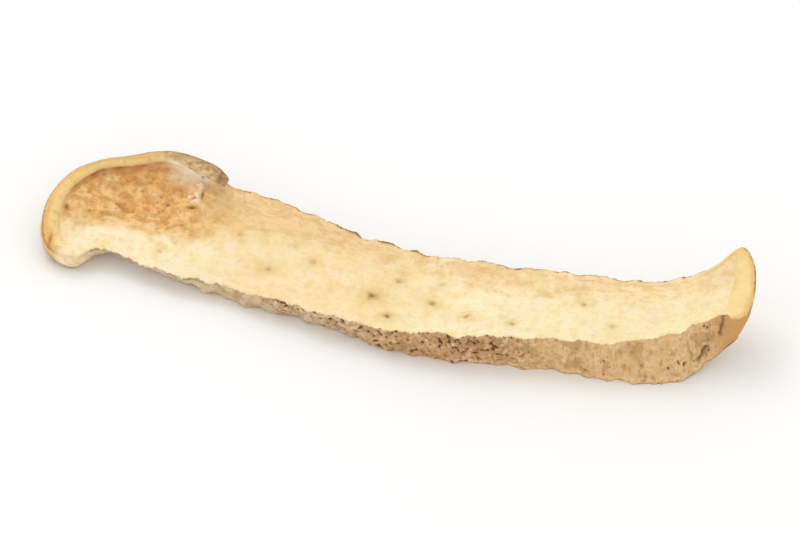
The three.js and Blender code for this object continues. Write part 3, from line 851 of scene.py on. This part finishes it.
# Where colours change along x and y: from none to full
CREAM_RIGHT_X = (8.0, 34.0)
CREAM_DULL_START_X = (-24.0, -14.0)
CREAM_DULL_STOP_X = (12.0, -2.0)
TAN_SIDE = (-1.2, 1.6)
TAN_STRONG_X = (32.0, 4.0)
TAN_GAPS_X = (-14.0, 4.0)
RIM_OUTER_X = (-35.4, -33.0)
LOBE_FRONT_X = (-35.4, -33.8)
LOBE_FRONT_Y = (-6.0, -8.0)
SKIN_REAR_Y = (-4.0, 0.0)
BARK_MID_X = (-6.0, 4.0)
BARK_RIGHT_X = (13.0, 20.0)
GROOVES_X = (15.0, 20.0)
OUTLINE_LEFT_X = (-34.0, -35.5)
OUTLINE_FRONT_START_X = (-32.0, -31.2)
OUTLINE_FRONT_STOP_X = (-14.0, -18.0)


class Paint:
    """Short calls for the nodes of one material."""

    def __init__(self, material):
        self.tree = material.node_tree
        place = self.tree.nodes.new("ShaderNodeTexCoord").outputs["Object"]
        self.place = self.vector("SCALE", place, scale=1 / MM)

    def put(self, socket, value):
        if isinstance(value, bpy.types.NodeSocket):
            self.tree.links.new(value, socket)
        else:
            socket.default_value = value

    def vector(self, operation, first, second=None, scale=None):
        node = self.tree.nodes.new("ShaderNodeVectorMath")
        node.operation = operation
        self.put(node.inputs[0], first)
        if second is not None:
            self.put(node.inputs[1], second)
        if scale is not None:
            node.inputs["Scale"].default_value = scale
        return node.outputs[0]

    def math(self, operation, *values):
        node = self.tree.nodes.new("ShaderNodeMath")
        node.operation = operation
        for socket, value in zip(node.inputs, values):
            self.put(socket, value)
        return node.outputs[0]

    def times(self, first, second):
        return self.math("MULTIPLY", first, second)

    def mark(self, name):
        node = self.tree.nodes.new("ShaderNodeAttribute")
        node.attribute_name = name
        return node.outputs["Fac"]

    def smooth(self, value, start, end):
        """0 at start and 1 at end, whichever of the two is lower."""
        node = self.tree.nodes.new("ShaderNodeMapRange")
        node.interpolation_type = "SMOOTHSTEP"
        rising = start < end
        self.put(node.inputs["Value"], value)
        node.inputs["From Min"].default_value = min(start, end)
        node.inputs["From Max"].default_value = max(start, end)
        node.inputs["To Min"].default_value = 0.0 if rising else 1.0
        node.inputs["To Max"].default_value = 1.0 if rising else 0.0
        return node.outputs["Result"]

    def mix(self, share, under, over):
        node = self.tree.nodes.new("ShaderNodeMix")
        node.data_type = "RGBA"
        self.put(node.inputs[0], share)
        self.put(node.inputs[6], under)
        self.put(node.inputs[7], over)
        return node.outputs[2]

    def scaled_place(self, size, seed, stretch):
        scale = [1 / (size * part) for part in stretch]
        scaled = self.vector("MULTIPLY", self.place, scale)
        return self.vector("ADD", scaled, [seed * step for step in SEED_STEP])

    def noise(self, size, seed, detail, stretch=ROUND):
        """Noise from about 0.2 to 0.8 around 0.5."""
        node = self.tree.nodes.new("ShaderNodeTexNoise")
        self.put(node.inputs["Vector"], self.scaled_place(size, seed, stretch))
        node.inputs["Scale"].default_value = 1.0
        node.inputs["Detail"].default_value = detail
        return node.outputs["Fac"]

    def patches(self, size, seed, detail, begin, full, stretch=ROUND):
        """Patches of noise: 0 where it is under begin and 1 where it is over full."""
        return self.smooth(self.noise(size, seed, detail, stretch), begin, full)

    def shaken(self, name, amount, size, seed, detail):
        """A mark moved up and down by noise."""
        shift = self.math("SUBTRACT", self.noise(size, seed, detail), 0.5)
        return self.math("ADD", self.mark(name), self.times(shift, amount))

    def raised(self, value, gain, least):
        """A value times a gain, on top of a least value."""
        return self.math("ADD", self.times(value, gain), least)

    def over(self, under, share, strength, colour):
        """A colour laid over what is under it, where a share of 0 to 1 says, at a strength."""
        return self.mix(self.times(share, strength), under, colour)


def cut_face_colour(paint):
    along = paint.mark("along")
    colour = paint.mix(paint.smooth(along, *CREAM_RIGHT_X), CREAM_FRONT, CREAM_RIGHT)
    dull = paint.times(paint.smooth(along, *CREAM_DULL_START_X), paint.smooth(along, *CREAM_DULL_STOP_X))
    colour = paint.over(colour, dull, 0.65, CREAM_DULL)
    colour = paint.over(colour, paint.patches(*PINK_PATCHES), 0.6, CREAM_PINK)
    colour = paint.over(colour, paint.patches(*YELLOW_PATCHES), 0.6, CREAM_YELLOW)

    tan_share = paint.smooth(paint.shaken("tan_side", *TAN_SHAKE), *TAN_SIDE)
    tan_share = paint.times(tan_share, paint.raised(paint.smooth(along, *TAN_STRONG_X), 0.4, 0.5))
    gaps = paint.times(paint.patches(*TAN_GAPS), paint.smooth(along, *TAN_GAPS_X))
    tan_share = paint.times(tan_share, paint.raised(gaps, -0.7, 1.0))
    colour = paint.mix(tan_share, colour, TAN)
    for patches, gain, least in TAN_LAYERS:
        layer_share = paint.times(paint.patches(*patches), paint.raised(tan_share, gain, least))
        colour = paint.mix(layer_share, colour, TAN_STREAK)
    colour = paint.over(colour, paint.smooth(paint.mark("arcs"), 0.3, 1.0), 0.5, TAN_STREAK)
    colour = paint.over(colour, paint.patches(*FACE_SPECKS), 0.3, SPECK)

    flesh = paint.mix(paint.patches(*HOLLOW_SHADES), HOLLOW_LIGHT, HOLLOW_DARK)
    flesh = paint.over(flesh, paint.patches(*HOLLOW_PALE), 0.6, TAN)
    flesh = paint.over(flesh, paint.patches(*HOLLOW_STRANDS), 0.45, WRINKLE_BROWN)
    flesh = paint.over(flesh, paint.mark("wrinkle"), 0.4, WRINKLE_BROWN)
    colour = paint.mix(paint.mark("hollow"), colour, flesh)
    for name, strength, mark_colour in FACE_MARKS:
        colour = paint.over(colour, paint.mark(name), strength, mark_colour)
    return colour


def front_of_lobe(paint):
    """1 where the lobe's rim and skin are pale, at its front."""
    along, back = paint.mark("along"), paint.mark("back")
    return paint.times(paint.smooth(along, *LOBE_FRONT_X), paint.smooth(back, *LOBE_FRONT_Y))


def rim_colour(paint):
    back = paint.mark("back")
    across = paint.shaken("across", *RIM_SHAKE)
    streaks = paint.patches(*RIM_STREAKS)
    outer = paint.mix(paint.smooth(paint.mark("along"), *RIM_OUTER_X), RIM_ORANGE, RIM_OUTER)
    left = paint.mix(paint.smooth(across, 0.45, 1.15), outer, RIM_INNER)
    left = paint.mix(front_of_lobe(paint), left, SKIN_PALE)
    left = paint.over(left, streaks, 0.4, RIM_STREAK)

    outer_line = paint.smooth(across, 0.8, 0.3)
    inner_line = paint.times(paint.smooth(across, 1.9, 2.4), paint.smooth(back, -2.0, 0.8))
    tip = paint.times(paint.smooth(back, 1.2, 3.0), 0.7)
    lines = paint.math("MAXIMUM", paint.math("MAXIMUM", outer_line, inner_line), tip)
    right = paint.over(RIM_RIGHT, lines, 0.6, RIM_LINE)
    right = paint.over(right, streaks, 0.25, RIM_LINE)
    colour = paint.mix(paint.mark("left_rim"), right, left)

    blotches = paint.patches(*TONGUE_BLOTCHES)
    tongue = paint.mix(blotches, TONGUE_SKIN, TONGUE_DARK)
    # Painted shade along the tongue's outer edge
    tongue = paint.over(tongue, paint.smooth(across, 0.5, 0.1), 0.25, EDGE_LINE_AND_SHADE)
    end_share = paint.times(paint.mark("tongue_end"), paint.raised(blotches, 0.5, 0.5))
    tongue = paint.mix(end_share, tongue, TONGUE_END_BROWN)
    colour = paint.mix(paint.mark("hook"), colour, tongue)
    colour = paint.mix(paint.mark("pale_inner"), colour, PALE_INNER)
    # Painted shade under the tongue, as a pale pinkish tint
    return paint.mix(paint.mark("lilac_shade"), colour, LILAC_SHADE)


def skin_colour(paint):
    left = paint.mix(paint.smooth(paint.mark("back"), *SKIN_REAR_Y), SKIN_ORANGE, SKIN_BROWN)
    # Painted shade: the skin darkens down the wall, below the top edge
    left = paint.over(left, paint.smooth(paint.mark("across"), -0.5, -1.6), 0.6, SKIN_FOOT_SHADE)
    left = paint.mix(front_of_lobe(paint), left, SKIN_PALE)
    colour = paint.mix(paint.mark("left_rim"), SKIN_RIGHT, left)
    colour = paint.over(colour, paint.mark("hook"), 0.8, TONGUE_DARK)
    colour = paint.over(colour, paint.patches(*SKIN_BLOTCHES), 0.35, BARK_DARK)
    # Painted shade along the foot of the wall
    lowest_shade = paint.smooth(paint.shaken("above_foot", *SKIN_FOOT_SHADE_SHAKE), 0.6, 0.2)
    return paint.over(colour, lowest_shade, 0.8, SKIN_FOOT_SHADE)


def wall_colour(paint):
    along, pitted = paint.mark("along"), paint.mark("pitted")
    colour = paint.mix(paint.smooth(along, *BARK_MID_X), BARK_LEFT, BARK_MID)
    colour = paint.mix(paint.smooth(along, *BARK_RIGHT_X), colour, BARK_RIGHT)
    colour = paint.over(colour, paint.patches(*BARK_LIGHTS), 0.6, BARK_LIGHT)
    colour = paint.over(colour, paint.patches(*BARK_PATCHES), 0.45, BARK_DARK)
    darks = paint.times(paint.patches(*BARK_DARKS), paint.raised(pitted, 0.55, 0.2))
    colour = paint.mix(darks, colour, BARK_DARK)
    grooves = paint.times(paint.patches(*BARK_GROOVES), paint.smooth(along, *GROOVES_X))
    colour = paint.over(colour, grooves, 0.45, BARK_DARK)
    specks = paint.times(paint.patches(*BARK_SPECKS), paint.raised(pitted, 0.7, 0.12))
    colour = paint.mix(specks, colour, BARK_PIT)
    colour = paint.mix(paint.mark("grain"), colour, GRAIN_WHITE)
    colour = paint.mix(paint.smooth(paint.mark("pit"), 0.03, 0.7), colour, BARK_PIT)
    foot = paint.times(paint.mark("pale_foot"), paint.patches(*FOOT_PATCHES))
    colour = paint.over(colour, foot, 0.8, FOOT_PALE)
    colour = paint.mix(paint.mark("skin"), colour, skin_colour(paint))
    return paint.over(colour, paint.mark("bark_crack"), 0.9, BARK_PIT)


def underside_colour(paint):
    colour = paint.mix(paint.patches(*UNDER_SHADES), UNDER_TAN, UNDER_BROWN)
    colour = paint.over(colour, paint.patches(*UNDER_STREAKS), 0.35, BARK_DARK)
    return paint.over(colour, paint.patches(*UNDER_SPECKS), 0.4, BARK_DARK)


def edge_line_and_shade_share(paint, across):
    """The thin patchy dark line along the top edge, at the back and beside the notch most of all. Along the
    left rim and at the left end it is painted shade of the wall below the edge.
    """
    along = paint.mark("along")
    line = paint.smooth(paint.math("ABSOLUTE", paint.math("SUBTRACT", across, 0.02)), 0.25, 0.06)
    on_left_rim = paint.times(paint.mark("left_rim"), 0.7)
    line = paint.times(line, paint.math("MAXIMUM", paint.patches(*OUTLINE_PATCHES), on_left_rim))
    front_start = paint.smooth(along, *OUTLINE_FRONT_START_X)
    in_front = paint.times(front_start, paint.smooth(along, *OUTLINE_FRONT_STOP_X))
    strength = paint.math("MAXIMUM", paint.mark("rear"), paint.smooth(along, *OUTLINE_LEFT_X))
    strength = paint.math("MAXIMUM", strength, in_front)
    return paint.times(line, paint.raised(strength, 0.65, 0.1))


def dried_yam():
    """Starchy cut face, rims of smooth skin, pitted bark and a browner underside."""
    material = bpy.data.materials.new("dried_yam")
    material.use_nodes = True
    shader = material.node_tree.nodes["Principled BSDF"]
    paint = Paint(material)
    across = paint.shaken("across", *EDGE_SHAKE)
    above_foot = paint.shaken("above_foot", *FOOT_SHAKE)
    colour = paint.mix(paint.mark("lip"), cut_face_colour(paint), rim_colour(paint))
    # Painted shade in the crease along the rim's foot
    colour = paint.over(colour, paint.mark("crease"), 0.95, CREASE_SHADE_BROWN)
    # Painted shade of the gap under the tongue
    colour = paint.over(colour, paint.mark("tongue_gap_shade"), 0.8, PIT_AND_GAP_SHADE_BROWN)
    past_edge = paint.math("SUBTRACT", across, paint.mark("raised"))
    colour = paint.mix(paint.smooth(past_edge, 0.12, -0.08), colour, wall_colour(paint))
    # The top edge's dark line, painted shade along the left rim and the left end
    colour = paint.mix(edge_line_and_shade_share(paint, across), colour, EDGE_LINE_AND_SHADE)
    colour = paint.mix(paint.mark("fibre"), colour, FIBRE_BROWN)
    colour = paint.mix(paint.mark("streak"), colour, STREAK_BROWN)
    colour = paint.mix(paint.smooth(above_foot, 0.2, -0.2), colour, underside_colour(paint))
    paint.put(shader.inputs["Base Color"], colour)
    shader.inputs["Roughness"].default_value = 0.78
    shader.inputs["Specular IOR Level"].default_value = 0.25
    shader.inputs["Subsurface Weight"].default_value = 0.12
    shader.inputs["Subsurface Radius"].default_value = (1.0, 0.7, 0.4)
    shader.inputs["Subsurface Scale"].default_value = 0.6 * MM
    bump = paint.tree.nodes.new("ShaderNodeBump")
    bump.inputs["Strength"].default_value = 0.35
    bump.inputs["Distance"].default_value = 0.05 * MM
    paint.put(bump.inputs["Height"], paint.noise(*BUMP_NOISE))
    paint.put(shader.inputs["Normal"], bump.outputs["Normal"])
    return material


def matte(name, colour):
    material = bpy.data.materials.new(name)
    material.use_nodes = True
    shader = material.node_tree.nodes["Principled BSDF"]
    shader.inputs["Base Color"].default_value = colour
    shader.inputs["Roughness"].default_value = 0.9
    shader.inputs["Specular IOR Level"].default_value = 0.1
    return material


FLOOR_HALF = 1500.0
FLOOR_WHITE = linear(247, 247, 246)
WORLD_STRENGTH = 0.92
LAMP_SIZE = 400.0
LAMP_PLACE = (-260.0, 230.0, 620.0)
LAMP_POWER = 1.1


def make_camera():
    data = bpy.data.cameras.new("camera")
    data.lens = CAMERA_LENS
    data.sensor_width = CAMERA_SENSOR
    distance = VIEW_WIDTH * CAMERA_LENS / CAMERA_SENSOR
    azimuth, elevation = math.radians(CAMERA_AZIMUTH), math.radians(CAMERA_ELEVATION)
    level = math.cos(elevation)
    back = Vector((math.sin(azimuth) * level, -math.cos(azimuth) * level, math.sin(elevation)))
    camera = bpy.data.objects.new("camera", data)
    camera.location = (Vector(VIEW_TARGET) + back * distance) * MM
    camera.rotation_euler = (-back).to_track_quat("-Z", "Y").to_euler()
    data.clip_start = distance * MM / 100
    bpy.context.scene.collection.objects.link(camera)
    bpy.context.scene.camera = camera


def make_floor():
    half = FLOOR_HALF * MM
    mesh = bpy.data.meshes.new("floor")
    corners = [(-half, -half, 0), (half, -half, 0), (half, half, 0), (-half, half, 0)]
    mesh.from_pydata(corners, [], [(0, 1, 2, 3)])
    mesh.materials.append(matte("floor_white", FLOOR_WHITE))
    floor = bpy.data.objects.new("floor", mesh)
    bpy.context.scene.collection.objects.link(floor)


def make_light():
    scene = bpy.context.scene
    world = bpy.data.worlds.new("studio")
    world.use_nodes = True
    world.node_tree.nodes["Background"].inputs["Color"].default_value = (1.0, 1.0, 1.0, 1.0)
    world.node_tree.nodes["Background"].inputs["Strength"].default_value = WORLD_STRENGTH
    scene.world = world
    data = bpy.data.lights.new("soft_box", "AREA")
    data.size = LAMP_SIZE * MM
    data.energy = LAMP_POWER
    lamp = bpy.data.objects.new("soft_box", data)
    lamp.location = Vector(LAMP_PLACE) * MM
    lamp.rotation_euler = (-lamp.location).to_track_quat("-Z", "Y").to_euler()
    scene.collection.objects.link(lamp)
    scene.view_settings.view_transform = "Standard"


make_camera()
make_light()
make_floor()
yam_slice = make_slice()
yam_slice.data.materials.append(dried_yam())
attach(yam_slice, BODY)
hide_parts(NODE)
